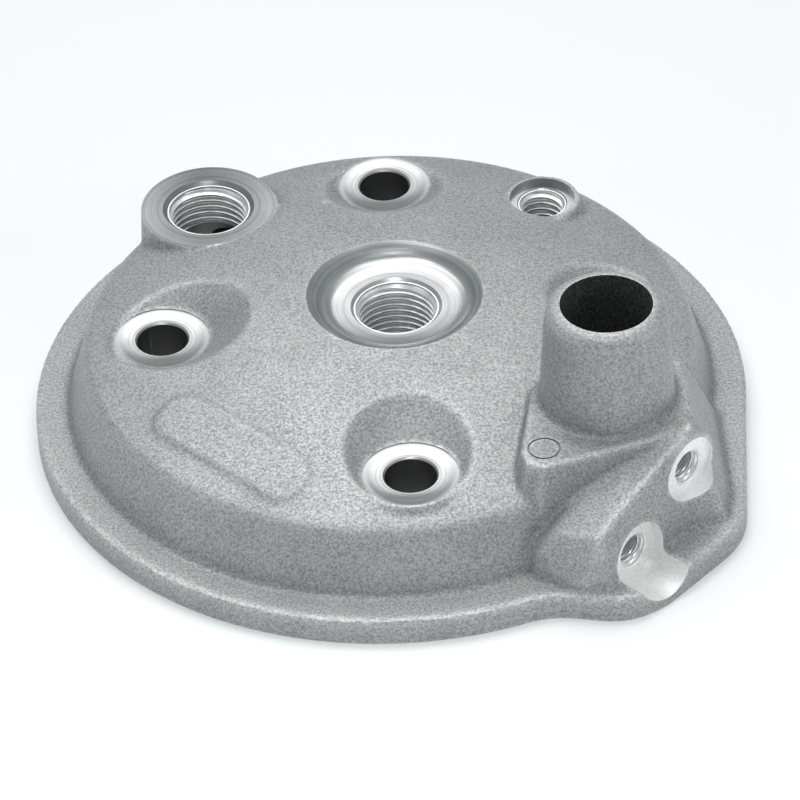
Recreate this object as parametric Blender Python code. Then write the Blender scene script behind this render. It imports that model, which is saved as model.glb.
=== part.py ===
"""Liquid-cooled two-stroke cylinder head: one bare aluminium casting and its rubber seals.

Sizes are in millimetres here and are turned into metres by MM. +Z points up, away from the
cylinder. The gasket face is at z = 0 and the round flange is centred on the origin; the
spark plug, the four studs and the combustion chamber share an axis at (PLUG_X, 0).
"""

import math

import bmesh
import bpy
from mathutils import Matrix, Vector

MM = 0.001

# Flange, outer wall and domed deck
FLANGE_R = 61.1
FLANGE_T = 4.7
FLANGE_BEVEL = 0.6
LOBE_OUT = 68.3          # outer side of the flange lobe, along the lug's u from the plug axis
LOBE_SIDE = 59.4         # its +X side, leaning in by LOBE_LEAN degrees towards -Y
LOBE_LEAN = 5.7
LOBE_LEFT = 22.5         # its other side, against the lug's v
LOBE_ROUNDING = (2.8, 15.0, 5.0)  # at the +X corner, the other corner and the hollow to the circle
WALL_R = 55.2            # outer wall where it meets the flange
WALL_DRAFT = 0.3         # inward lean per millimetre of height
DECK_TOP = 25.5          # height that the dome would have over the plug
DECK_SPHERE_R = 148.0
DECK_EDGE_R = 2.6        # rounding between deck and wall

# Spark plug, studs and their seats
PLUG_X = 1.6
PLUG_SEAT_Z = 22.2
PLUG_BORE_R = 6.35       # M14 x 1.25 thread, at its crest
PLUG_CHAMFER_R = 7.8
PLUG_RECESS = ((11.0, PLUG_SEAT_Z), (15.0, 24.7), (17.0, 26.0))
STUD_PITCH_R = 40.0
STUD_ANGLES = (0, 90, 180, 270)
STUD_BORE_R = 4.35
STUD_SEAT_R = 8.25
STUD_SEAT_Z = 18.1
STUD_POCKET_FLARE = 1.3  # widening of the cast pocket per millimetre above the seat

# Threaded bosses on the deck: x, y from the plug axis, top height, boss and bore radius
SENSOR = {"x": -31.1, "y": 33.4, "z": 20.5, "r": 11.6, "bore": 6.35, "chamfer": 8.0}
BLEED = {"x": 27.15, "y": 30.3, "z": 19.3, "r": 6.3, "bore": 3.4, "chamfer": 4.1}

# Coolant outlet and the block that it stands on, x and y from the plug axis
SPIGOT_X = 33.4
SPIGOT_Y = -28.05
SPIGOT_TOP_Z = 41.8
SPIGOT_TOP_R = 9.4
SPIGOT_FOOT_R = 11.35
SPIGOT_BORE_R = 7.6
SHELF_Z = 22.8
SHELF_CORNERS = (         # x, y on the shelf, then how far its foot stands out to x and y
    (21.0, -26.0, -3.0, 1.0), (18.3, -41.5, -4.0, -0.6), (18.8, -44.3, -3.6, -2.6),
    (21.3, -45.6, -1.4, -4.2), (39.3, -40.6, 1.0, -4.0), (46.6, -37.6, 5.6, -3.0),
    (47.0, -33.0, 6.6, -1.5), (46.6, -20.0, 7.0, 8.0), (41.0, -15.5, 4.0, 4.0), (30.0, -14.0, 0.0, 3.0),
)

# Blank raised plate on the deck: x, y of its middle from the plug axis, turn, length, width
PLATE = {"x": -29.2, "y": -31.2, "turn": -45.0, "long": 31.0, "wide": 8.6, "rise": 0.5}

# Lug with two M6 holes: u is measured outward along LUG_AZ, v to its left, from the plug axis
LUG_AZ = -45.0
LUG_FACE_U = 61.1
LUG_CORNERS = (
    (62.9, 12.9, 3.0), (62.4, -17.5, 3.0), (58.9, -21.4, 3.0), (59.9, 5.8, 23.4), (60.6, -19.0, 15.4),
    (53.0, 8.6, 22.8), (53.0, -1.0, 21.2), (52.5, -21.0, 14.0), (50.0, -23.8, 3.0), (51.5, -23.0, 11.0),
    (42.0, 10.0, 3.0), (42.0, -22.0, 3.0), (46.0, 6.0, 21.5),
)
LUG_HOLES = ((3.9, 16.05), (-10.1, 7.2))   # v and z of each hole
LUG_BOSS_R = 6.5         # cast boss round the upper hole
LUG_BORE_R = 2.5
LUG_BORE_DEPTH = 7.5
LUG_SEAT_R = 5.7
LUG_SEAT_DEPTH = 0.6

# Underside
CHAMBER = ((25.0, -1.0), (25.0, 0.0), (16.0, 1.3))
CHAMBER_ROOF_Z = 9.5
JACKET_IN_R = 32.0
JACKET_OUT_R = 50.5
JACKET_ROOF = (14.5, 10.5)
JACKET_DRAFT = 0.6
COLUMN_R = 8.8
SEAL_GAP = 0.3
CHAMBER_SEAL = {"centre_r": 28.5, "width": 2.4, "groove": 2.2}
JACKET_SEAL = {"centre_r": 55.5, "width": 2.4, "groove": 2.2}
STUD_SEAL = {"centre_r": 5.6, "width": 1.8, "groove": 1.7}

TURNS = 64
FINE_TURNS = 80


def clear_scene():
    for thing in list(bpy.data.objects):
        bpy.data.objects.remove(thing)


def new_collection(name):
    group = bpy.data.collections.new(name)
    bpy.context.scene.collection.children.link(group)
    return group


def mesh_object(name, body, group):
    """Makes an object from a bmesh held in millimetres."""
    bmesh.ops.scale(body, vec=(MM, MM, MM), verts=body.verts)
    bmesh.ops.recalc_face_normals(body, faces=body.faces)
    mesh = bpy.data.meshes.new(name)
    body.to_mesh(mesh)
    body.free()
    made = bpy.data.objects.new(name, mesh)
    group.objects.link(made)
    return made


def cone(name, group, bottom_r, top_r, low_z, high_z, x=0.0, y=0.0, segments=TURNS):
    """An upright cone frustum, or a cylinder where both radii are the same."""
    body = bmesh.new()
    place = Matrix.Translation((x, y, (low_z + high_z) / 2))
    bmesh.ops.create_cone(
        body, cap_ends=True, segments=segments, radius1=bottom_r, radius2=top_r,
        depth=high_z - low_z, matrix=place,
    )
    return mesh_object(name, body, group)


def turned(name, group, profile, x=0.0, y=0.0, segments=TURNS):
    """Turns a closed (radius, height) outline about an upright axis at x, y."""
    body = bmesh.new()
    rings = []
    for radius, height in profile:
        if radius == 0.0:
            rings.append([body.verts.new((x, y, height))])
            continue
        ring = []
        for step in range(segments):
            angle = 2 * math.pi * step / segments
            ring.append(body.verts.new((x + radius * math.cos(angle), y + radius * math.sin(angle), height)))
        rings.append(ring)
    for first, second in zip(rings, rings[1:] + rings[:1]):
        if len(first) == 1 and len(second) == 1:
            continue
        for step in range(segments):
            after = (step + 1) % segments
            corners = [first[step % len(first)], second[step % len(second)],
                       second[after % len(second)], first[after % len(first)]]
            body.faces.new(list(dict.fromkeys(corners)))
    return mesh_object(name, body, group)


def hull(name, group, points):
    """The convex solid around a few corner points."""
    body = bmesh.new()
    for point in points:
        body.verts.new(point)
    made = bmesh.ops.convex_hull(body, input=body.verts)
    inside = [item for item in made["geom_interior"] if isinstance(item, bmesh.types.BMVert)]
    bmesh.ops.delete(body, geom=inside, context="VERTS")
    return mesh_object(name, body, group)


def boolean(target, other, operation):
    step = target.modifiers.new(f"{operation.lower()}_{other.name}", "BOOLEAN")
    step.object = other
    step.operation = operation
    step.solver = "EXACT"


def add(target, other):
    boolean(target, other, "UNION")


def cut(target, other):
    boolean(target, other, "DIFFERENCE")


def lug_point(u, v, z):
    """A point given along the lug's outward direction u, sideways v and height z."""
    angle = math.radians(LUG_AZ)
    x = PLUG_X + u * math.cos(angle) - v * math.sin(angle)
    y = u * math.sin(angle) + v * math.cos(angle)
    return Vector((x, y, z))


def stud_places():
    for angle in STUD_ANGLES:
        turn = math.radians(angle)
        yield PLUG_X + STUD_PITCH_R * math.cos(turn), STUD_PITCH_R * math.sin(turn)


def rounded_max(first, second, size):
    near = max(size - abs(first - second), 0.0) / size
    return max(first, second) + near * near * size / 4


def outside_flange(x, y):
    """How far outside the flange outline a point is: a circle blended with the lug's lobe."""
    circle = math.hypot(x, y) - FLANGE_R
    turn = math.radians(LUG_AZ)
    u = (x - PLUG_X) * math.cos(turn) + y * math.sin(turn)
    v = y * math.cos(turn) - (x - PLUG_X) * math.sin(turn)
    if u < 30.0 or y > -4.0:
        return circle
    lean = math.radians(LOBE_LEAN)
    side = (x - PLUG_X) * math.cos(lean) - y * math.sin(lean) - LOBE_SIDE
    lobe = rounded_max(u - LOBE_OUT, side, LOBE_ROUNDING[0])
    lobe = rounded_max(lobe, -v - LOBE_LEFT, LOBE_ROUNDING[1])
    hollow = LOBE_ROUNDING[2] if v < 0 else 0.01
    return -rounded_max(-circle, -lobe, hollow)


def flange_radius(azimuth):
    near, far = 40.0, 90.0
    for _ in range(40):
        middle = (near + far) / 2
        if outside_flange(middle * math.cos(azimuth), middle * math.sin(azimuth)) < 0:
            near = middle
        else:
            far = middle
    return near


def make_flange(group):
    steps = 144
    levels = ((0.0, 0.0), (0.0, FLANGE_T - FLANGE_BEVEL), (-FLANGE_BEVEL, FLANGE_T))
    body = bmesh.new()
    rings = []
    for inset, height in levels:
        ring = []
        for step in range(steps):
            azimuth = 2 * math.pi * step / steps
            radius = flange_radius(azimuth) + inset
            ring.append(body.verts.new((radius * math.cos(azimuth), radius * math.sin(azimuth), height)))
        rings.append(ring)
    for lower, upper in zip(rings, rings[1:]):
        for step in range(steps):
            after = (step + 1) % steps
            body.faces.new((lower[step], lower[after], upper[after], upper[step]))
    body.faces.new(rings[0][::-1])
    body.faces.new(rings[-1])
    return mesh_object("head_casting", body, group)


def deck_height(radius):
    return DECK_TOP - DECK_SPHERE_R + math.sqrt(DECK_SPHERE_R ** 2 - radius ** 2)


def dome_profile(rise, low):
    """Leaning outer wall, rounded edge and spherical deck, as a (radius, height) outline."""
    edge_z = deck_height(WALL_R - 3.5) + rise
    wall_top_r = WALL_R - WALL_DRAFT * (edge_z - FLANGE_T)
    wall_angle = math.atan(WALL_DRAFT)
    deck_angle = math.asin(wall_top_r / DECK_SPHERE_R)
    sweep = math.pi / 2 - wall_angle - deck_angle
    reach = DECK_EDGE_R * math.tan(sweep / 2)
    on_wall = (wall_top_r + reach * math.sin(wall_angle), edge_z - reach * math.cos(wall_angle))
    centre_r = on_wall[0] - DECK_EDGE_R * math.cos(wall_angle)
    centre_z = on_wall[1] - DECK_EDGE_R * math.sin(wall_angle)
    profile = [(0.0, low), (WALL_R + WALL_DRAFT * (FLANGE_T - low), low), on_wall]
    arc_steps = 4
    for step in range(1, arc_steps + 1):
        tilt = wall_angle + sweep * step / arc_steps
        profile.append((centre_r + DECK_EDGE_R * math.cos(tilt), centre_z + DECK_EDGE_R * math.sin(tilt)))
    edge_r, edge_z = profile[-1]
    settle = edge_z - deck_height(edge_r) - rise
    rings = 6
    for step in range(1, rings):
        share = 1 - step / rings
        profile.append((edge_r * share, deck_height(edge_r * share) + rise + settle * share))
    profile.append((0.0, deck_height(0.0) + rise))
    return profile


def make_dome(group):
    return turned("dome", group, dome_profile(0.0, FLANGE_T - 1.5))


def make_plate(group):
    """The blank plate: a rounded block trimmed to stand a little proud of the deck."""
    body = bmesh.new()
    corner_r = 0.45 * PLATE["wide"]
    turn = math.radians(PLATE["turn"])
    outline = []
    for side_x, side_y in ((1, 1), (-1, 1), (-1, -1), (1, -1)):
        first = math.atan2(side_y, side_x) - math.pi / 4
        for step in range(5):
            angle = first + math.pi / 2 * step / 4
            x = side_x * (PLATE["long"] / 2 - corner_r) + corner_r * math.cos(angle)
            y = side_y * (PLATE["wide"] / 2 - corner_r) + corner_r * math.sin(angle)
            outline.append((x * math.cos(turn) - y * math.sin(turn) + PLUG_X + PLATE["x"],
                            x * math.sin(turn) + y * math.cos(turn) + PLATE["y"]))
    bottom = [body.verts.new((x, y, FLANGE_T + 7.0)) for x, y in outline]
    top = [body.verts.new((x, y, DECK_TOP + 6.0)) for x, y in outline]
    body.faces.new(bottom[::-1])
    body.faces.new(top)
    for step in range(len(outline)):
        after = (step + 1) % len(outline)
        body.faces.new((bottom[step], bottom[after], top[after], top[step]))
    plate = mesh_object("plate", body, group)
    skin = turned("plate_skin", group, dome_profile(PLATE["rise"], FLANGE_T - 1.5))
    boolean(plate, skin, "INTERSECT")
    return plate


def make_shelf(group):
    points = []
    for x, y, out_x, out_y in SHELF_CORNERS:
        points.append((PLUG_X + x, y, SHELF_Z))
        points.append((PLUG_X + x + out_x, y + out_y, FLANGE_T - 0.7))
    return hull("shelf", group, points)


def make_spigot(group):
    lip = 0.9
    foot_z = SHELF_Z - 12.0
    lean = (SPIGOT_FOOT_R - SPIGOT_TOP_R) / (SPIGOT_TOP_Z - SHELF_Z)
    profile = [
        (0.0, foot_z), (SPIGOT_FOOT_R + lean * 12.0, foot_z), (SPIGOT_TOP_R + 0.1, SPIGOT_TOP_Z - lip),
        (SPIGOT_TOP_R - 0.3 * lip, SPIGOT_TOP_Z - 0.3 * lip), (SPIGOT_TOP_R - lip, SPIGOT_TOP_Z),
        (0.0, SPIGOT_TOP_Z),
    ]
    return turned("spigot", group, profile, PLUG_X + SPIGOT_X, SPIGOT_Y, segments=48)


def make_casting(parts, helpers):
    """The one-piece casting, from the outer shapes less the machined and cored hollows."""
    casting = make_flange(parts)
    add(casting, make_dome(helpers))
    add(casting, make_plate(helpers))
    add(casting, make_shelf(helpers))
    add(casting, hull("lug", helpers, [lug_point(*corner) for corner in LUG_CORNERS]))
    v, z = LUG_HOLES[0]
    add(casting, lug_cylinder("lug_boss", helpers, LUG_BOSS_R, v, z, 50.0, LUG_FACE_U, 40))
    add(casting, make_spigot(helpers))
    for name, boss in (("sensor_boss", SENSOR), ("bleed_boss", BLEED)):
        add(casting, cone(name, helpers, boss["r"] + 1.0, boss["r"], FLANGE_T - 1.3, boss["z"],
                          PLUG_X + boss["x"], boss["y"], segments=48))
    cut_plug_and_chamber(casting, helpers)
    cut_jacket(casting, helpers)
    for number, (x, y) in enumerate(stud_places(), start=1):
        cut_stud(casting, helpers, number, x, y)
    for name, boss in (("sensor", SENSOR), ("bleed", BLEED)):
        cut_threaded_boss(casting, helpers, name, boss)
    cut(casting, cone("spigot_bore", helpers, SPIGOT_BORE_R, SPIGOT_BORE_R, JACKET_ROOF[1] - 1.5,
                      SPIGOT_TOP_Z + 3.0, PLUG_X + SPIGOT_X, SPIGOT_Y, segments=40))
    cut_lug_holes(casting, helpers)
    cut_seal_grooves(casting, helpers)
    return casting


def cut_plug_and_chamber(casting, helpers):
    profile = [(0.0, PLUG_SEAT_Z + 8.0), (PLUG_RECESS[-1][0] + 4.0, PLUG_SEAT_Z + 8.0)]
    profile += [point for point in reversed(PLUG_RECESS)]
    profile += [
        (PLUG_CHAMFER_R, PLUG_SEAT_Z), (PLUG_BORE_R, PLUG_SEAT_Z - (PLUG_CHAMFER_R - PLUG_BORE_R)),
        (PLUG_BORE_R, CHAMBER_ROOF_Z - 3.0), (0.0, CHAMBER_ROOF_Z - 3.0),
    ]
    cut(casting, turned("plug_bore", helpers, profile, PLUG_X, 0.0, segments=60))
    bowl_r, bowl_z = CHAMBER[-1]
    rise = CHAMBER_ROOF_Z - bowl_z
    sphere_r = (bowl_r ** 2 + rise ** 2) / (2 * rise)
    bowl = [(0.0, -1.0)] + list(CHAMBER)
    steps = 5
    span = math.asin(bowl_r / sphere_r)
    for step in range(1, steps):
        tilt = span * (1 - step / steps)
        bowl.append((sphere_r * math.sin(tilt), CHAMBER_ROOF_Z - sphere_r * (1 - math.cos(tilt))))
    bowl.append((0.0, CHAMBER_ROOF_Z))
    cut(casting, turned("chamber", helpers, bowl, PLUG_X, 0.0))


def cut_jacket(casting, helpers):
    """The open coolant ring between chamber and outer wall, left solid round each stud."""
    inner_top, outer_top = JACKET_ROOF
    profile = [
        (0.0, -1.0), (JACKET_OUT_R + 0.06, -1.0), (JACKET_OUT_R - JACKET_DRAFT, outer_top),
        (JACKET_IN_R + 3.0, inner_top), (0.0, inner_top),
    ]
    ring = turned("jacket", helpers, profile)
    cut(ring, cone("core", helpers, JACKET_IN_R, JACKET_IN_R + JACKET_DRAFT, -2.0, 20.0, PLUG_X, 0.0))
    for number, (x, y) in enumerate(stud_places(), start=1):
        cut(ring, cone(f"column_{number}", helpers, COLUMN_R, COLUMN_R + 0.5, -2.0, 20.0, x, y, segments=36))
    cut(casting, ring)


def cut_stud(casting, helpers, number, x, y):
    top = STUD_SEAT_Z + 7.0
    wide = STUD_SEAT_R + STUD_POCKET_FLARE * (top - STUD_SEAT_Z)
    profile = [
        (0.0, top), (wide, top), (STUD_SEAT_R, STUD_SEAT_Z), (STUD_BORE_R, STUD_SEAT_Z),
        (STUD_BORE_R, -1.0), (0.0, -1.0),
    ]
    cut(casting, turned(f"stud_{number}", helpers, profile, x, y, segments=48))


def cut_threaded_boss(casting, helpers, name, boss):
    top = boss["z"]
    depth = boss["chamfer"] - boss["bore"]
    profile = [
        (0.0, top + 6.0), (boss["r"], top + 6.0), (boss["r"] - 0.15, top - 0.05), (boss["chamfer"], top - 0.05),
        (boss["bore"], top - depth), (boss["bore"], JACKET_ROOF[1] - 1.0), (0.0, JACKET_ROOF[1] - 1.0),
    ]
    cut(casting, turned(f"{name}_bore", helpers, profile, PLUG_X + boss["x"], boss["y"], segments=40))


def lug_cylinder(name, group, radius, v, z, start_u, end_u, segments):
    """A level cylinder along the lug's outward direction."""
    body = bmesh.new()
    turn = Matrix.Rotation(math.radians(LUG_AZ), 4, "Z") @ Matrix.Rotation(math.pi / 2, 4, "Y")
    place = Matrix.Translation(lug_point((start_u + end_u) / 2, v, z)) @ turn
    bmesh.ops.create_cone(
        body, cap_ends=True, segments=segments, radius1=radius, radius2=radius,
        depth=end_u - start_u, matrix=place,
    )
    return mesh_object(name, body, group)


def cut_lug_holes(casting, helpers):
    seat_u = LUG_FACE_U - LUG_SEAT_DEPTH
    for number, (v, z) in enumerate(LUG_HOLES, start=1):
        cut(casting, lug_cylinder(f"lug_seat_{number}", helpers, LUG_SEAT_R, v, z, seat_u, seat_u + 16.0, 40))
        cut(casting, lug_cylinder(f"lug_bore_{number}", helpers, LUG_BORE_R, v, z,
                                  seat_u - LUG_BORE_DEPTH, seat_u + 4.0, 24))


def groove_profile(seal):
    half = seal["width"] / 2 + SEAL_GAP
    inner = seal["centre_r"] - half
    outer = seal["centre_r"] + half
    return [(inner, -1.0), (outer, -1.0), (outer, seal["groove"]), (inner, seal["groove"])]


def cut_seal_grooves(casting, helpers):
    cut(casting, turned("chamber_groove", helpers, groove_profile(CHAMBER_SEAL), PLUG_X, 0.0))
    cut(casting, turned("jacket_groove", helpers, groove_profile(JACKET_SEAL), 0.0, 0.0, segments=FINE_TURNS))
    for number, (x, y) in enumerate(stud_places(), start=1):
        outer = STUD_SEAL["centre_r"] + STUD_SEAL["width"] / 2 + SEAL_GAP
        cut(casting, cone(f"stud_groove_{number}", helpers, outer, outer, -1.0, STUD_SEAL["groove"], x, y, segments=32))


def make_seal(name, group, seal, x, y, segments):
    """A round seal squeezed to the depth of its groove, just inside the gasket face."""
    low = 0.1
    high = seal["groove"] - SEAL_GAP
    half_wide = seal["width"] / 2
    half_high = (high - low) / 2
    profile = []
    steps = 8
    for step in range(steps):
        turn = 2 * math.pi * (step + 0.5) / steps
        squared = [math.copysign(abs(value) ** 0.75, value) for value in (math.cos(turn), math.sin(turn))]
        profile.append((seal["centre_r"] + half_wide * squared[0], low + half_high * (1 + squared[1])))
    return turned(name, group, profile, x, y, segments=segments)


def aluminium():
    finish = bpy.data.materials.new("cast_aluminium")
    finish.use_nodes = True
    shader = finish.node_tree.nodes["Principled BSDF"]
    shader.inputs["Base Color"].default_value = (0.55, 0.57, 0.56, 1.0)
    shader.inputs["Metallic"].default_value = 0.9
    shader.inputs["Roughness"].default_value = 0.5
    return finish


def rubber():
    finish = bpy.data.materials.new("seal_rubber")
    finish.use_nodes = True
    shader = finish.node_tree.nodes["Principled BSDF"]
    shader.inputs["Base Color"].default_value = (0.02, 0.02, 0.022, 1.0)
    shader.inputs["Metallic"].default_value = 0.0
    shader.inputs["Roughness"].default_value = 0.55
    return finish


def finish_piece(piece, material):
    piece.data.materials.append(material)
    piece.data.shade_smooth()
    piece.data.set_sharp_from_angle(angle=math.radians(30))


def hide_helpers(helpers):
    helpers.hide_render = True
    for helper in helpers.objects:
        helper.hide_render = True
        helper.display_type = "WIRE"


def main():
    clear_scene()
    parts = new_collection("cylinder_head")
    helpers = new_collection("cutters")
    finish_piece(make_casting(parts, helpers), aluminium())
    black = rubber()
    finish_piece(make_seal("chamber_seal", parts, CHAMBER_SEAL, PLUG_X, 0.0, TURNS), black)
    finish_piece(make_seal("jacket_seal", parts, JACKET_SEAL, 0.0, 0.0, FINE_TURNS), black)
    for number, (x, y) in enumerate(stud_places(), start=1):
        finish_piece(make_seal(f"stud_seal_{number}", parts, STUD_SEAL, x, y, 32), black)
    hide_helpers(helpers)


main()
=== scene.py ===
import math

import bmesh
import bpy
from mathutils import Matrix, Vector

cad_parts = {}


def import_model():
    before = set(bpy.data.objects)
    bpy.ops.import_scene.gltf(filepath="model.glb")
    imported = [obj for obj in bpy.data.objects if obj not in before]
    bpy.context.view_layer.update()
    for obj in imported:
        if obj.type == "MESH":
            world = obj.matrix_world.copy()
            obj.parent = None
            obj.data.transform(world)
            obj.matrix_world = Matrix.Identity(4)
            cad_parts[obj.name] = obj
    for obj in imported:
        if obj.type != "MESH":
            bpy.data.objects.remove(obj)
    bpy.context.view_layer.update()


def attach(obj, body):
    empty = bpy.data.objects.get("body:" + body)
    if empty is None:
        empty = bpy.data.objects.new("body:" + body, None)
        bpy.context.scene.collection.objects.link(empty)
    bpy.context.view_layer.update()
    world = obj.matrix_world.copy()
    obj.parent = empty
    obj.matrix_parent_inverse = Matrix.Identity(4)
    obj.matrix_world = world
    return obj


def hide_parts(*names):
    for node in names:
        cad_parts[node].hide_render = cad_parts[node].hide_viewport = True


# Lengths are in millimetres and are turned into metres by MM. The frame is the CAD part's:
# gasket face at z = 0, flange centred on the origin, spark plug axis at (PLUG_X, 0).
MM = 0.001
SMALL = 0.02

FLANGE_R = 61.0
FLANGE_T = 4.75
LOBE_OUT = 68.3
LOBE_SIDE = 59.3
LOBE_LEAN = 5.7
LOBE_LEFT = 22.5
LOBE_ROUNDING = (4.0, 15.0, 6.0)
WALL_R = 55.2
WALL_DRAFT = 0.3
DECK_TOP = 25.5
DECK_SPHERE_R = 148.0
DECK_EDGE_R = 2.6

PLUG_X = 1.6
PLUG_SEAT_Z = 22.2
STUD_PITCH_R = 40.0
STUD_ANGLES = (0, 90, 180, 270)
STUD_BORE_R = 4.35
STUD_SEAT_R = 8.25
STUD_SEAT_Z = 18.1
STUD_POCKET_FLARE = 1.3
STUD_SEAT_STEP_R = 6.7
PLUG_RECESS = (
    (16.4, 25.65), (15.0, 24.75), (13.2, 23.65), (13.1, 23.5),
    (12.0, 22.75), (11.0, 22.35), (10.4, PLUG_SEAT_Z),
)

SENSOR = {"x": -31.1, "y": 33.4, "z": 20.5, "r": 11.75, "foot": 12.8}
BLEED = {"x": 27.15, "y": 30.3, "z": 19.3, "r": 6.6, "foot": 8.0}

SPIGOT_X = 33.4
SPIGOT_Y = -28.05
SPIGOT_TOP_Z = 41.8
SPIGOT_TOP_R = 9.55
SPIGOT_FOOT_R = 11.35
SPIGOT_SIDE = ((10.35, 4.0), (10.15, 2.2))       # radius, and depth below the rim
SPIGOT_WAIST = (10.85, 7.0)                      # radius, and height above the shelf
SPIGOT_RIM_R = 8.4
SPIGOT_BORE_R = 7.6
SHELF_Z = 22.85
SHELF_CORNERS = (
    (21.0, -26.0, -3.0, 1.0), (18.1, -41.5, -4.0, -0.6), (18.7, -44.6, -3.6, -2.6),
    (21.3, -46.0, -1.4, -4.2), (39.3, -40.8, 1.0, -4.0), (46.6, -37.6, 5.6, -3.0),
    (47.0, -33.0, 6.6, -1.5), (46.6, -20.0, 7.0, 8.0), (41.0, -15.5, 4.0, 4.0), (30.0, -14.0, 0.0, 3.0),
)
EJECTOR_MARK = (21.9, -41.1, 2.35)

PLATE = {"x": -29.2, "y": -31.2, "turn": -45.0, "long": 31.0, "wide": 8.6, "rise": 0.55}

LUG_AZ = -45.0
LUG_FACE_U = 61.1
LUG_CORNERS = (
    (62.9, 12.9, 3.0), (62.4, -17.5, 3.0), (58.9, -21.4, 3.0), (60.1, 5.8, 23.6), (60.8, -19.2, 15.7),
    (53.0, 8.6, 22.8), (53.0, -1.0, 21.2), (52.5, -21.0, 14.0), (50.0, -23.8, 3.0), (51.5, -23.0, 11.0),
    (42.0, 10.0, 3.0), (42.0, -22.0, 3.0), (46.0, 6.0, 21.5),
)
LUG_HOLES = ((3.9, 16.05), (-10.1, 7.2))
LUG_BOSS_R = 6.5
LUG_SEAT_R = 5.7
LUG_SEAT_DEPTH = 0.6
LUG_BORE_DEPTH = 7.5

CHAMBER_ROOF_Z = 9.5
JACKET_IN_R = 32.0
JACKET_OUT_R = 50.5
JACKET_ROOF = (14.5, 10.5)
COLUMN_R = 8.8
SEAL_GAP = 0.3
CHAMBER_SEAL = {"centre_r": 28.5, "width": 2.4, "groove": 2.2}
JACKET_SEAL = {"centre_r": 55.5, "width": 2.4, "groove": 2.2}
STUD_SEAL = {"centre_r": 5.6, "width": 1.8, "groove": 1.7}

# Threads: crest radius, root radius and pitch
M14 = (6.35, 6.98, 1.25)
M8 = (3.4, 3.98, 1.25)
M6 = (2.5, 2.98, 1.0)

GRAIN = 0.55             # voxel size of the cast skin
TURNS = 128


# ---- shapes ----

def mesh_object(name, body, material=None):
    """Makes an object from a bmesh held in millimetres."""
    bmesh.ops.scale(body, vec=(MM, MM, MM), verts=body.verts)
    bmesh.ops.recalc_face_normals(body, faces=body.faces)
    mesh = bpy.data.meshes.new(name)
    body.to_mesh(mesh)
    body.free()
    made = bpy.data.objects.new(name, mesh)
    bpy.context.scene.collection.objects.link(made)
    if material:
        made.data.materials.append(material)
    return made


def turned(name, profile, x=0.0, y=0.0, segments=TURNS, material=None, place=None):
    """Turns a closed (radius, height) outline about an upright axis at x, y."""
    body = bmesh.new()
    rings = []
    for radius, height in profile:
        if radius == 0.0:
            rings.append([body.verts.new((x, y, height))])
            continue
        ring = []
        for step in range(segments):
            angle = 2 * math.pi * step / segments
            ring.append(body.verts.new((x + radius * math.cos(angle), y + radius * math.sin(angle), height)))
        rings.append(ring)
    for first, second in zip(rings, rings[1:] + rings[:1]):
        if len(first) == 1 and len(second) == 1:
            continue
        for step in range(segments):
            after = (step + 1) % segments
            corners = [first[step % len(first)], second[step % len(second)],
                       second[after % len(second)], first[after % len(first)]]
            body.faces.new(list(dict.fromkeys(corners)))
    if place:
        bmesh.ops.transform(body, matrix=place, verts=body.verts)
    return mesh_object(name, body, material)


def hull(name, points):
    body = bmesh.new()
    for point in points:
        body.verts.new(point)
    made = bmesh.ops.convex_hull(body, input=body.verts)
    inside = [item for item in made["geom_interior"] if isinstance(item, bmesh.types.BMVert)]
    bmesh.ops.delete(body, geom=inside, context="VERTS")
    return mesh_object(name, body)


def prism(name, outline, low, high, material=None):
    body = bmesh.new()
    bottom = [body.verts.new((x, y, low)) for x, y in outline]
    top = [body.verts.new((x, y, high)) for x, y in outline]
    body.faces.new(bottom[::-1])
    body.faces.new(top)
    for step in range(len(outline)):
        after = (step + 1) % len(outline)
        body.faces.new((bottom[step], bottom[after], top[after], top[step]))
    return mesh_object(name, body, material)


def boolean(target, other, operation):
    step = target.modifiers.new(operation.lower(), "BOOLEAN")
    step.object = other
    step.operation = operation
    step.solver = "EXACT"
    step.material_mode = "TRANSFER"


def bake(target, helpers):
    """Turns the modifiers into plain mesh and removes the helper objects they used."""
    graph = bpy.context.evaluated_depsgraph_get()
    mesh = bpy.data.meshes.new_from_object(target.evaluated_get(graph))
    target.modifiers.clear()
    target.data = mesh
    for helper in helpers:
        bpy.data.objects.remove(helper)


def combine(target, others, operation):
    for other in others:
        boolean(target, other, operation)
    bake(target, others)


def soften(target, size, rounds):
    """Gives a solid the even skin and small rounded edges of a casting."""
    skin = target.modifiers.new("skin", "REMESH")
    skin.mode = "VOXEL"
    skin.voxel_size = size * MM
    smooth = target.modifiers.new("smooth", "SMOOTH")
    smooth.factor = 0.5
    smooth.iterations = rounds
    bake(target, [])


def lug_point(u, v, z):
    angle = math.radians(LUG_AZ)
    x = PLUG_X + u * math.cos(angle) - v * math.sin(angle)
    y = u * math.sin(angle) + v * math.cos(angle)
    return Vector((x, y, z))


def lug_place(v, z):
    """Stands an upright shape on its side, so that its z runs outward from the lug's axis line."""
    turn = Matrix.Rotation(math.radians(LUG_AZ), 4, "Z") @ Matrix.Rotation(math.pi / 2, 4, "Y")
    return Matrix.Translation(lug_point(0.0, v, z)) @ turn


def stud_places():
    for angle in STUD_ANGLES:
        turn = math.radians(angle)
        yield PLUG_X + STUD_PITCH_R * math.cos(turn), STUD_PITCH_R * math.sin(turn)


# ---- outside of the casting ----

def rounded_max(first, second, size):
    near = max(size - abs(first - second), 0.0) / size
    return max(first, second) + near * near * size / 4


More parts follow.
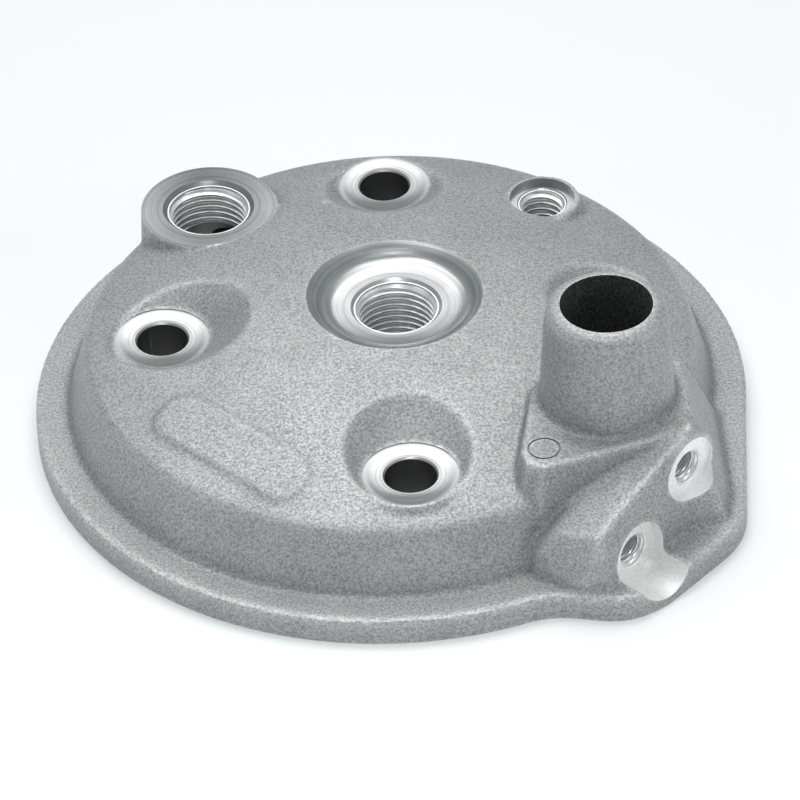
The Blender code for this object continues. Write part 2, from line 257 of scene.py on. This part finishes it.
def outside_flange(x, y):
    circle = math.hypot(x, y) - FLANGE_R
    turn = math.radians(LUG_AZ)
    u = (x - PLUG_X) * math.cos(turn) + y * math.sin(turn)
    v = y * math.cos(turn) - (x - PLUG_X) * math.sin(turn)
    if u < 30.0 or y > -4.0:
        return circle
    lean = math.radians(LOBE_LEAN)
    side = (x - PLUG_X) * math.cos(lean) - y * math.sin(lean) - LOBE_SIDE
    lobe = rounded_max(u - LOBE_OUT, side, LOBE_ROUNDING[0])
    lobe = rounded_max(lobe, -v - LOBE_LEFT, LOBE_ROUNDING[1])
    hollow = LOBE_ROUNDING[2] if v < 0 else 0.01
    return -rounded_max(-circle, -lobe, hollow)


def flange_outline(steps=360):
    outline = []
    for step in range(steps):
        azimuth = 2 * math.pi * step / steps
        near, far = 40.0, 90.0
        for _ in range(40):
            middle = (near + far) / 2
            if outside_flange(middle * math.cos(azimuth), middle * math.sin(azimuth)) < 0:
                near = middle
            else:
                far = middle
        outline.append((near * math.cos(azimuth), near * math.sin(azimuth)))
    return outline


def deck_height(radius):
    return DECK_TOP - DECK_SPHERE_R + math.sqrt(DECK_SPHERE_R ** 2 - radius ** 2)


def dome_profile(rise, low):
    edge_z = deck_height(WALL_R - 3.5) + rise
    wall_top_r = WALL_R - WALL_DRAFT * (edge_z - FLANGE_T)
    wall_angle = math.atan(WALL_DRAFT)
    deck_angle = math.asin(wall_top_r / DECK_SPHERE_R)
    sweep = math.pi / 2 - wall_angle - deck_angle
    reach = DECK_EDGE_R * math.tan(sweep / 2)
    on_wall = (wall_top_r + reach * math.sin(wall_angle), edge_z - reach * math.cos(wall_angle))
    centre_r = on_wall[0] - DECK_EDGE_R * math.cos(wall_angle)
    centre_z = on_wall[1] - DECK_EDGE_R * math.sin(wall_angle)
    profile = [(0.0, low), (WALL_R + WALL_DRAFT * (FLANGE_T - low), low), on_wall]
    for step in range(1, 7):
        tilt = wall_angle + sweep * step / 6
        profile.append((centre_r + DECK_EDGE_R * math.cos(tilt), centre_z + DECK_EDGE_R * math.sin(tilt)))
    edge_r, edge_z = profile[-1]
    settle = edge_z - deck_height(edge_r) - rise
    rings = 16
    for step in range(1, rings):
        share = 1 - step / rings
        profile.append((edge_r * share, deck_height(edge_r * share) + rise + settle * share))
    profile.append((0.0, deck_height(0.0) + rise))
    return profile


def make_plate():
    """A blank raised plate on the deck."""
    corner_r = 0.45 * PLATE["wide"]
    turn = math.radians(PLATE["turn"])
    outline = []
    for side_x, side_y in ((1, 1), (-1, 1), (-1, -1), (1, -1)):
        first = math.atan2(side_y, side_x) - math.pi / 4
        for step in range(9):
            angle = first + math.pi / 2 * step / 8
            x = side_x * (PLATE["long"] / 2 - corner_r) + corner_r * math.cos(angle)
            y = side_y * (PLATE["wide"] / 2 - corner_r) + corner_r * math.sin(angle)
            outline.append((x * math.cos(turn) - y * math.sin(turn) + PLUG_X + PLATE["x"],
                            x * math.sin(turn) + y * math.cos(turn) + PLATE["y"]))
    plate = prism("plate", outline, 12.0, 32.0)
    combine(plate, [turned("plate_skin", dome_profile(PLATE["rise"], 3.0))], "INTERSECT")
    return plate


def make_shelf():
    points = []
    for x, y, out_x, out_y in SHELF_CORNERS:
        points.append((PLUG_X + x, y, SHELF_Z))
        points.append((PLUG_X + x + out_x, y + out_y, 4.0))
    return hull("shelf", points)


def make_spigot():
    foot_z = 10.0
    top = SPIGOT_TOP_Z
    waist_r, waist_rise = SPIGOT_WAIST
    profile = [
        (0.0, foot_z), (SPIGOT_FOOT_R + 0.4, foot_z), (SPIGOT_FOOT_R - 0.1, SHELF_Z),
        (waist_r, SHELF_Z + waist_rise),
    ]
    profile += [(radius, top - depth) for radius, depth in SPIGOT_SIDE]
    profile += [
        (SPIGOT_TOP_R + 0.3, top - 1.1), (SPIGOT_TOP_R - 0.4, top - 0.35), (SPIGOT_RIM_R, top), (0.0, top),
    ]
    return turned("spigot", profile, PLUG_X + SPIGOT_X, SPIGOT_Y)


def make_boss(name, boss):
    top = boss["z"] + 1.2
    profile = [(0.0, 3.0), (boss["foot"], 3.0), (boss["r"], top), (0.0, top)]
    return turned(name, profile, PLUG_X + boss["x"], boss["y"])


def make_pads():
    """Low pads that carry the rims of the stud seats; the first seat needs none."""
    pad_r = STUD_SEAT_R + 0.3
    top = STUD_SEAT_Z + 0.25
    pad = [(0.0, 3.0), (pad_r, 3.0), (pad_r, top), (0.0, top)]
    pads = []
    for number, (x, y) in enumerate(stud_places()):
        if number:
            pads.append(turned(f"pad_{number}", pad, x, y, segments=96))
    return pads


def pocket_core(number, x, y):
    top = STUD_SEAT_Z + 8.0
    low = STUD_SEAT_Z + 0.2
    wide = STUD_SEAT_R + STUD_POCKET_FLARE * (top - STUD_SEAT_Z)
    profile = [(0.0, low), (STUD_SEAT_R + 0.1, low), (wide, top), (0.0, top)]
    return turned(f"pocket_{number}", profile, x, y)


def make_rough_casting(cast):
    """The casting as it leaves the mould, a little thick below the gasket face."""
    casting = prism("head_casting_look", flange_outline(), -3.0, FLANGE_T)
    v, z = LUG_HOLES[0]
    lug_boss = [(0.0, 48.0), (LUG_BOSS_R, 48.0), (LUG_BOSS_R, LUG_FACE_U), (0.0, LUG_FACE_U)]
    outside = make_pads() + [
        turned("dome", dome_profile(0.0, 3.0)),
        make_plate(),
        make_shelf(),
        hull("lug", [lug_point(*corner) for corner in LUG_CORNERS]),
        turned("lug_boss", lug_boss, segments=64, place=lug_place(v, z)),
        make_spigot(),
        make_boss("sensor_boss", SENSOR),
        make_boss("bleed_boss", BLEED),
    ]
    combine(casting, outside, "UNION")
    pockets = [pocket_core(number, x, y) for number, (x, y) in enumerate(stud_places())]
    combine(casting, pockets, "DIFFERENCE")
    soften(casting, GRAIN, 5)
    casting.data.materials.clear()
    casting.data.materials.append(cast)
    return casting


def make_coolant_core(material):
    """The sand core: the open jacket ring, less the stud columns, with the spigot's passage."""
    inner_top, outer_top = JACKET_ROOF
    profile = [
        (0.0, -4.0), (JACKET_OUT_R + 0.3, -4.0), (JACKET_OUT_R - 0.6, outer_top),
        (JACKET_IN_R + 3.0, inner_top), (0.0, inner_top),
    ]
    core = turned("coolant_core", profile)
    middle = [(0.0, -6.0), (JACKET_IN_R - 0.1, -6.0), (JACKET_IN_R + 0.7, 20.0), (0.0, 20.0)]
    inside = [turned("middle", middle, PLUG_X)]
    for number, (x, y) in enumerate(stud_places()):
        column = [(0.0, -6.0), (COLUMN_R, -6.0), (COLUMN_R + 0.6, 20.0), (0.0, 20.0)]
        inside.append(turned(f"column_{number}", column, x, y, segments=64))
    combine(core, inside, "DIFFERENCE")
    bore_r = SPIGOT_BORE_R + 0.08
    above = SPIGOT_TOP_Z + 5.0
    passage = [(0.0, 9.5), (bore_r, 9.5), (bore_r, above), (0.0, above)]
    combine(core, [turned("passage", passage, PLUG_X + SPIGOT_X, SPIGOT_Y)], "UNION")
    soften(core, 0.6, 8)
    core.data.materials.clear()
    core.data.materials.append(material)
    return core


# ---- machining ----

def cut_list(finishes):
    """Every machined shape that is cut out of the casting, each with its own finish."""
    cuts = [prism("facing", [(-90, -90), (90, -90), (90, 90), (-90, 90)], -20.0, 0.0, finishes["face"])]
    plug = [(0.0, 34.0), (19.0, 34.0), *PLUG_RECESS]
    plug += [(7.8, PLUG_SEAT_Z), (7.0, PLUG_SEAT_Z - 0.8), (7.0, 5.0), (0.0, 5.0)]
    cuts.append(turned("plug_cut", plug, PLUG_X, material=finishes["plug"]))
    chamber = [(0.0, -4.0), (25.4, -4.0), (25.4, -0.4), (25.0, 0.0), (16.0, 1.3)]
    sphere_r = (16.0 ** 2 + (CHAMBER_ROOF_Z - 1.3) ** 2) / (2 * (CHAMBER_ROOF_Z - 1.3))
    span = math.asin(16.0 / sphere_r)
    for step in range(1, 16):
        tilt = span * (1 - step / 16)
        chamber.append((sphere_r * math.sin(tilt), CHAMBER_ROOF_Z - sphere_r * (1 - math.cos(tilt))))
    chamber.append((0.0, CHAMBER_ROOF_Z))
    cuts.append(turned("chamber_cut", chamber, PLUG_X, material=finishes["chamber"]))
    for number, (x, y) in enumerate(stud_places()):
        stud = [
            (0.0, 21.5), (STUD_SEAT_R, 21.5), (STUD_SEAT_R - 0.25, STUD_SEAT_Z + 0.15),
            (6.9, STUD_SEAT_Z + 0.1), (STUD_SEAT_STEP_R, STUD_SEAT_Z), (STUD_BORE_R + 0.3, STUD_SEAT_Z),
            (STUD_BORE_R, STUD_SEAT_Z - 0.3), (STUD_BORE_R, -4.0), (0.0, -4.0),
        ]
        cuts.append(turned(f"stud_cut_{number}", stud, x, y, material=finishes[f"stud_{number}"]))
        outer = STUD_SEAL["centre_r"] + STUD_SEAL["width"] / 2 + SEAL_GAP
        groove = [(0.0, -4.0), (outer, -4.0), (outer, STUD_SEAL["groove"]), (0.0, STUD_SEAL["groove"])]
        cuts.append(turned(f"stud_groove_{number}", groove, x, y, material=finishes["groove"]))
    cuts.append(boss_cut("sensor", SENSOR, 12.1, 8.0, M14, finishes))
    cuts.append(boss_cut("bleed", BLEED, 5.7, 4.4, M8, finishes))
    for number, (v, z) in enumerate(LUG_HOLES):
        seat = LUG_FACE_U - LUG_SEAT_DEPTH
        root = M6[1] + 0.02
        hole = [
            (0.0, seat + 16.0), (LUG_SEAT_R, seat + 16.0), (LUG_SEAT_R, seat), (root + 0.35, seat),
            (root, seat - 0.35), (root, seat - LUG_BORE_DEPTH), (0.0, seat - LUG_BORE_DEPTH - 1.6),
        ]
        cuts.append(turned(f"lug_cut_{number}", hole, segments=96, material=finishes["milled"],
                           place=lug_place(v, z)))
    cuts.append(turned("chamber_groove", groove_profile(CHAMBER_SEAL), PLUG_X, material=finishes["groove"]))
    cuts.append(turned("jacket_groove", groove_profile(JACKET_SEAL), material=finishes["groove"]))
    x, y, radius = EJECTOR_MARK
    mark = [(radius, SHELF_Z + 2.0), (radius + 0.45, SHELF_Z + 2.0), (radius + 0.4, SHELF_Z - 0.25),
            (radius + 0.05, SHELF_Z - 0.25)]
    cuts.append(turned("ejector_mark", mark, PLUG_X + x, y, segments=64, material=finishes["cast"]))
    return cuts


def boss_cut(name, boss, face_r, mouth_r, thread, finishes):
    """Faces the top of a boss, steps its outer ring down a touch and bores it for its thread."""
    top = boss["z"]
    root = thread[1] + 0.02
    profile = [
        (0.0, top + 12.0), (face_r, top + 12.0), (face_r, top - 0.02), (mouth_r, top),
        (root, top - mouth_r + root), (root, 8.0), (0.0, 8.0),
    ]
    return turned(f"{name}_cut", profile, PLUG_X + boss["x"], boss["y"], material=finishes[name])


def groove_profile(seal):
    half = seal["width"] / 2 + SEAL_GAP
    inner = seal["centre_r"] - half
    outer = seal["centre_r"] + half
    return [(inner, -4.0), (outer, -4.0), (outer, seal["groove"]), (inner, seal["groove"])]


def thread_sleeve(name, thread, low, high, mouth_r, place, material):
    """The cut thread as a thin ring, its ridges running round in a true right-hand helix."""
    crest, root, pitch = thread
    segments, per_turn = 96, 8
    outer = root + 0.25
    shape = (0.0, 0.12, 0.56, 1.0, 1.0, 1.0, 0.56, 0.12)
    rows = int((high - low) / pitch * per_turn) + 2 * per_turn
    body = bmesh.new()
    grid = []
    for row in range(rows):
        ring = []
        for step in range(segments + 1):
            turn = step / segments
            z = low + (row / per_turn - 1 + turn) * pitch
            depth = shape[row % per_turn]
            radius = root - (root - crest) * depth
            z = min(max(z, low), high)
            radius = max(radius, min(mouth_r - (high - z), root))
            angle = 2 * math.pi * turn
            ring.append(body.verts.new((radius * math.cos(angle), radius * math.sin(angle), z)))
        grid.append(ring)
    outside = []
    for z in (low, high):
        ring = []
        for step in range(segments):
            angle = 2 * math.pi * step / segments
            ring.append(body.verts.new((outer * math.cos(angle), outer * math.sin(angle), z)))
        outside.append(ring)
    for lower, upper in zip(grid, grid[1:]):
        for step in range(segments):
            body.faces.new((lower[step], upper[step], upper[step + 1], lower[step + 1]))
    for step in range(segments):
        after = (step + 1) % segments
        body.faces.new((outside[0][step], outside[0][after], outside[1][after], outside[1][step]))
        body.faces.new((grid[0][step], grid[0][step + 1], outside[0][after], outside[0][step]))
        body.faces.new((outside[1][step], outside[1][after], grid[-1][step + 1], grid[-1][step]))
    bmesh.ops.remove_doubles(body, verts=body.verts, dist=0.002)
    bmesh.ops.dissolve_degenerate(body, edges=body.edges, dist=0.002)
    bmesh.ops.transform(body, matrix=place, verts=body.verts)
    sleeve = mesh_object(name, body, material)
    sleeve.data.shade_smooth()
    sleeve.data.set_sharp_from_angle(angle=math.radians(25))
    return sleeve


def make_threads(finish):
    sleeves = []
    up = Matrix.Translation((PLUG_X, 0.0, 0.0))
    sleeves.append(thread_sleeve("plug_thread", M14, 8.9, PLUG_SEAT_Z - 0.45, 7.35, up, finish))
    up = Matrix.Translation((PLUG_X + SENSOR["x"], SENSOR["y"], 0.0))
    sleeves.append(thread_sleeve("sensor_thread", M14, 12.4, SENSOR["z"] - 0.65, 7.35, up, finish))
    up = Matrix.Translation((PLUG_X + BLEED["x"], BLEED["y"], 0.0))
    sleeves.append(thread_sleeve("bleed_thread", M8, 13.2, BLEED["z"] - 0.2, 4.2, up, finish))
    for number, (v, z) in enumerate(LUG_HOLES):
        seat = LUG_FACE_U - LUG_SEAT_DEPTH
        low = seat - LUG_BORE_DEPTH + 0.4
        place = lug_place(v, z)
        sleeves.append(thread_sleeve(f"lug_thread_{number}", M6, low, seat - 0.2, 3.15, place, finish))
    return sleeves


def make_seal(name, seal, x, y, material):
    """A moulded ring squeezed in its groove, with the fine flash line of its mould."""
    low = 0.12
    high = seal["groove"] - SEAL_GAP
    half_wide = seal["width"] / 2 - 0.04
    half_high = (high - low) / 2
    profile = []
    for step in range(20):
        turn = 2 * math.pi * step / 20
        squared = [math.copysign(abs(value) ** 0.75, value) for value in (math.cos(turn), math.sin(turn))]
        flash = 0.04 if step in (0, 10) else 0.0
        wide = half_wide + flash
        profile.append((seal["centre_r"] + wide * squared[0], low + half_high * (1 + squared[1])))
    ring = turned(name, profile, x, y, segments=128, material=material)
    ring.data.shade_smooth()
    return ring


# ---- finishes ----

def node_material(name, colour, metallic, roughness):
    finish = bpy.data.materials.new(name)
    finish.use_nodes = True
    nodes = finish.node_tree.nodes
    shader = nodes["Principled BSDF"]
    shader.inputs["Base Color"].default_value = (*colour, 1.0)
    shader.inputs["Metallic"].default_value = metallic
    shader.inputs["Roughness"].default_value = roughness
    place = nodes.new("ShaderNodeTexCoord")
    return finish, finish.node_tree, shader, place.outputs["Object"]


def noise(tree, place, scale, detail, roughness=0.6):
    made = tree.nodes.new("ShaderNodeTexNoise")
    made.inputs["Scale"].default_value = scale
    made.inputs["Detail"].default_value = detail
    made.inputs["Roughness"].default_value = roughness
    tree.links.new(place, made.inputs["Vector"])
    return made.outputs["Fac"]


def ramp(tree, value, low, high, from_low=0.3, from_high=0.7):
    """Maps a value to a grey or colour between low and high."""
    made = tree.nodes.new("ShaderNodeValToRGB")
    made.color_ramp.elements[0].position = from_low
    made.color_ramp.elements[1].position = from_high
    made.color_ramp.elements[0].color = low
    made.color_ramp.elements[1].color = high
    tree.links.new(value, made.inputs["Fac"])
    return made.outputs["Color"]


def grey(value):
    return (value, value, value, 1.0)


def multiply(tree, first, second):
    made = tree.nodes.new("ShaderNodeMix")
    made.data_type = "RGBA"
    made.blend_type = "MULTIPLY"
    made.inputs["Factor"].default_value = 1.0
    tree.links.new(first, made.inputs["A"])
    tree.links.new(second, made.inputs["B"])
    return made.outputs["Result"]


def vector_math(tree, operation, first, constant):
    made = tree.nodes.new("ShaderNodeVectorMath")
    made.operation = operation
    made.inputs[1].default_value = constant
    tree.links.new(first, made.inputs[0])
    return made.outputs["Vector"]


def bump(tree, shader, height, strength, distance, before=None):
    made = tree.nodes.new("ShaderNodeBump")
    made.inputs["Strength"].default_value = strength
    made.inputs["Distance"].default_value = distance * MM
    tree.links.new(height, made.inputs["Height"])
    if before:
        tree.links.new(before, made.inputs["Normal"])
    tree.links.new(made.outputs["Normal"], shader.inputs["Normal"])
    return made.outputs["Normal"]


def cast_finish(name, light, dark, roughness, painted_edge_light=False):
    """Blasted skin: bright and dark grains over slow cloudy patches, and on request painted highlights on
    convex edges with painted shade in concave creases.
    """
    finish, tree, shader, place = node_material(name, light[:3], 0.6, roughness)
    grain = noise(tree, place, 2300.0, 3.0, 0.7)
    cloud = noise(tree, place, 90.0, 4.0, 0.55)
    speckle = ramp(tree, grain, dark, light, 0.36, 0.62)
    patches = ramp(tree, cloud, grey(0.9), grey(1.0), 0.35, 0.65)
    colour = multiply(tree, speckle, patches)
    if painted_edge_light:
        # Painted highlight and shade: from the mesh's pointiness, convex edges stay light and concave creases
        # darken to half.
        bend = tree.nodes.new("ShaderNodeNewGeometry").outputs["Pointiness"]
        colour = multiply(tree, colour, ramp(tree, bend, grey(0.5), grey(1.0), 0.46, 0.55))
    tree.links.new(colour, shader.inputs["Base Color"])
    rough = ramp(tree, grain, grey(roughness + 0.08), grey(roughness - 0.08), 0.3, 0.7)
    tree.links.new(rough, shader.inputs["Roughness"])
    dents = bump(tree, shader, cloud, 0.25, 0.25)
    bump(tree, shader, grain, 0.45, 0.1, dents)
    return finish


def machined_finish(name, centre, pitch=0.45, tones=(0.42, 0.68)):
    """Cut metal with fine rings round an upright axis, which stretch its highlights."""
    roughness = 0.3
    finish, tree, shader, place = node_material(name, (0.6, 0.6, 0.6), 1.0, roughness)
    away = vector_math(tree, "SUBTRACT", place, [part * MM for part in centre])
    around = vector_math(tree, "CROSS_PRODUCT", away, (0.0, 0.0, 1.0))
    tree.links.new(around, shader.inputs["Tangent"])
    shader.inputs["Anisotropic"].default_value = 0.7
    radius = tree.nodes.new("ShaderNodeVectorMath")
    radius.operation = "LENGTH"
    tree.links.new(around, radius.inputs[0])
    rings = tree.nodes.new("ShaderNodeTexNoise")
    rings.noise_dimensions = "1D"
    rings.inputs["Scale"].default_value = 0.5 / (pitch * MM)
    rings.inputs["Detail"].default_value = 4.0
    rings.inputs["Roughness"].default_value = 0.7
    tree.links.new(radius.outputs["Value"], rings.inputs["W"])
    low, high = tones
    streaks = ramp(tree, rings.outputs["Fac"], grey(low), grey(high), 0.35, 0.65)
    smear = ramp(tree, noise(tree, place, 150.0, 3.0), grey(0.88), grey(1.0), 0.35, 0.65)
    tree.links.new(multiply(tree, streaks, smear), shader.inputs["Base Color"])
    rough = ramp(tree, rings.outputs["Fac"], grey(roughness + 0.08), grey(roughness - 0.04), 0.35, 0.65)
    tree.links.new(rough, shader.inputs["Roughness"])
    bump(tree, shader, rings.outputs["Fac"], 0.3, 0.04)
    return finish


def thread_finish():
    finish, tree, shader, place = node_material("cut_thread", (0.8, 0.81, 0.81), 1.0, 0.28)
    wear = noise(tree, place, 700.0, 3.0)
    tree.links.new(ramp(tree, wear, grey(0.78), grey(1.0)), shader.inputs["Base Color"])
    tree.links.new(ramp(tree, wear, grey(0.42), grey(0.32)), shader.inputs["Roughness"])
    bump(tree, shader, wear, 0.08, 0.02)
    return finish


def rubber_finish():
    finish, tree, shader, place = node_material("seal_rubber_look", (0.012, 0.012, 0.013), 0.0, 0.5)
    bloom = noise(tree, place, 300.0, 4.0)
    tree.links.new(ramp(tree, bloom, (0.01, 0.01, 0.011, 1.0), (0.026, 0.026, 0.028, 1.0)),
                   shader.inputs["Base Color"])
    tree.links.new(ramp(tree, bloom, grey(0.42), grey(0.6)), shader.inputs["Roughness"])
    bump(tree, shader, noise(tree, place, 2500.0, 2.0), 0.3, 0.02)
    return finish


def make_finishes():
    made = {
        # The cast skin carries painted highlights on its edges and painted shade in its creases.
        "cast": cast_finish("blasted_aluminium", (0.68, 0.69, 0.68, 1.0), (0.36, 0.375, 0.372, 1.0), 0.56,
                            painted_edge_light=True),
        # Near-black cored skin: partly the oxidised tone of the unblasted core surfaces, partly painted shade
        # in the jacket and spigot bore.
        "core": cast_finish("cored_skin_with_painted_shade", (0.16, 0.16, 0.155, 1.0), (0.03, 0.031, 0.031, 1.0), 0.72),
        # Near-white milled seats: partly their rough milled texture, partly a painted highlight that keeps
        # the sideways faces bright.
        "milled": cast_finish("milled_seat_painted_bright", (1.0, 1.0, 0.99, 1.0), (0.86, 0.87, 0.86, 1.0), 0.46),
        "face": machined_finish("faced_aluminium", (PLUG_X, 0.0, 0.0)),
        "plug": machined_finish("plug_seat", (PLUG_X, 0.0, 0.0), pitch=0.8),
        "chamber": machined_finish("chamber_wall", (PLUG_X, 0.0, 0.0)),
        "groove": machined_finish("groove_wall", (PLUG_X, 0.0, 0.0)),
        # The sensor face has darker ring tones than the other cut faces: painted shade.
        "sensor": machined_finish("sensor_face", (PLUG_X + SENSOR["x"], SENSOR["y"], 0.0), 0.8, (0.26, 0.46)),
        "bleed": machined_finish("bleed_face", (PLUG_X + BLEED["x"], BLEED["y"], 0.0)),
    }
    for number, (x, y) in enumerate(stud_places()):
        made[f"stud_{number}"] = machined_finish(f"stud_seat_{number}", (x, y, 0.0), pitch=0.7)
    return made


# ---- pieces, stage, light and camera ----

def shade(casting):
    """Smooth shading, with a crisp edge wherever two finishes meet."""
    casting.data.shade_smooth()
    casting.data.set_sharp_from_angle(angle=math.radians(30))
    body = bmesh.new()
    body.from_mesh(casting.data)
    for edge in body.edges:
        if len({face.material_index for face in edge.link_faces}) > 1:
            edge.smooth = False
    body.to_mesh(casting.data)
    body.free()


def show(piece, slot, *nodes):
    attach(piece, "root")
    if nodes:
        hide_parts(*nodes)


def build_pieces():
    finishes = make_finishes()
    casting = make_rough_casting(finishes["cast"])
    combine(casting, [make_coolant_core(finishes["core"])], "DIFFERENCE")
    combine(casting, cut_list(finishes), "DIFFERENCE")
    shade(casting)
    show(casting, "cast_aluminium", "head_casting")
    for sleeve in make_threads(thread_finish()):
        show(sleeve, "cast_aluminium")
    rubber = rubber_finish()
    show(make_seal("chamber_seal_look", CHAMBER_SEAL, PLUG_X, 0.0, rubber), "seal_rubber", "chamber_seal")
    show(make_seal("jacket_seal_look", JACKET_SEAL, 0.0, 0.0, rubber), "seal_rubber", "jacket_seal")
    for number, (x, y) in enumerate(stud_places(), start=1):
        ring = make_seal(f"stud_seal_look_{number}", STUD_SEAL, x, y, rubber)
        show(ring, "seal_rubber", f"stud_seal_{number}")


def make_floor():
    floor = turned("floor", [(0.0, -3.0), (420.0, -3.0), (420.0, -SMALL), (0.0, -SMALL)])
    finish, tree, shader, place = node_material("floor_white", (0.93, 0.93, 0.93), 0.0, 0.8)
    floor.data.materials.append(finish)


def hang_light(name, light, azimuth, elevation, distance, target=(0.0, 0.0, 0.0)):
    """Hangs a light that points at the target; azimuth 0 is +X and 90 is +Y."""
    holder = bpy.data.objects.new(name, light)
    flat = math.radians(azimuth)
    up = math.radians(elevation)
    away = Vector((math.cos(flat) * math.cos(up), math.sin(flat) * math.cos(up), math.sin(up)))
    holder.location = Vector(target) * MM + away * distance
    holder.rotation_euler = away.to_track_quat("Z", "Y").to_euler()
    bpy.context.scene.collection.objects.link(holder)


def soft_box(name, azimuth, elevation, distance, size, watts):
    light = bpy.data.lights.new(name, "AREA")
    light.size = size
    light.energy = watts
    hang_light(name, light, azimuth, elevation, distance)


def make_light():
    soft_box("overhead", 100.0, 70.0, 0.7, 0.8, 3.7)
    soft_box("left", 200.0, 22.0, 0.8, 0.3, 0.4)
    soft_box("right", -22.0, 24.0, 0.7, 0.25, 0.6)
    spot = bpy.data.lights.new("deck_spot", "SPOT")
    spot.energy = 4.5
    spot.spot_size = math.radians(20.0)
    spot.spot_blend = 1.0
    spot.shadow_soft_size = 0.12
    hang_light("deck_spot", spot, 96.0, 72.0, 0.7, (-8.0, -48.0, 8.0))
    bounce = bpy.data.lights.new("floor_spot", "SPOT")
    bounce.energy = 8.0
    bounce.spot_size = math.radians(24.0)
    bounce.spot_blend = 0.6
    bounce.shadow_soft_size = 0.1
    hang_light("floor_spot", bounce, -90.0, 62.0, 0.7, (0.0, -175.0, 0.0))
    world = bpy.data.worlds.new("studio")
    world.use_nodes = True
    world.node_tree.nodes["Background"].inputs["Color"].default_value = (0.86, 0.95, 0.97, 1.0)
    world.node_tree.nodes["Background"].inputs["Strength"].default_value = 0.43
    bpy.context.scene.world = world
    bpy.context.scene.view_settings.view_transform = "Standard"


def make_camera():
    """A long lens looking down at 39 degrees, rolled a little."""
    down = math.radians(39.0)
    roll = math.radians(-2.485)
    turn = Matrix.Rotation(math.radians(-1.67), 3, "Z")
    ahead = turn @ Vector((0.0, math.cos(down), -math.sin(down)))
    right = turn @ Vector((1.0, 0.0, 0.0))
    up = turn @ Vector((0.0, math.sin(down), math.cos(down)))
    side = math.cos(roll) * right + math.sin(roll) * up
    top = math.cos(roll) * up - math.sin(roll) * right
    camera = bpy.data.cameras.new("camera")
    camera.lens = 225.0
    camera.sensor_width = 36.0
    camera.clip_start = 0.05
    holder = bpy.data.objects.new("camera", camera)
    frame = Matrix((side, top, -ahead)).transposed().to_4x4()
    frame.translation = (side * 1.482 + top * 1.309 - ahead * 862.2) * MM
    holder.matrix_world = frame
    bpy.context.scene.collection.objects.link(holder)
    bpy.context.scene.camera = holder


def main():
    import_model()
    build_pieces()
    make_floor()
    make_light()
    make_camera()


main()
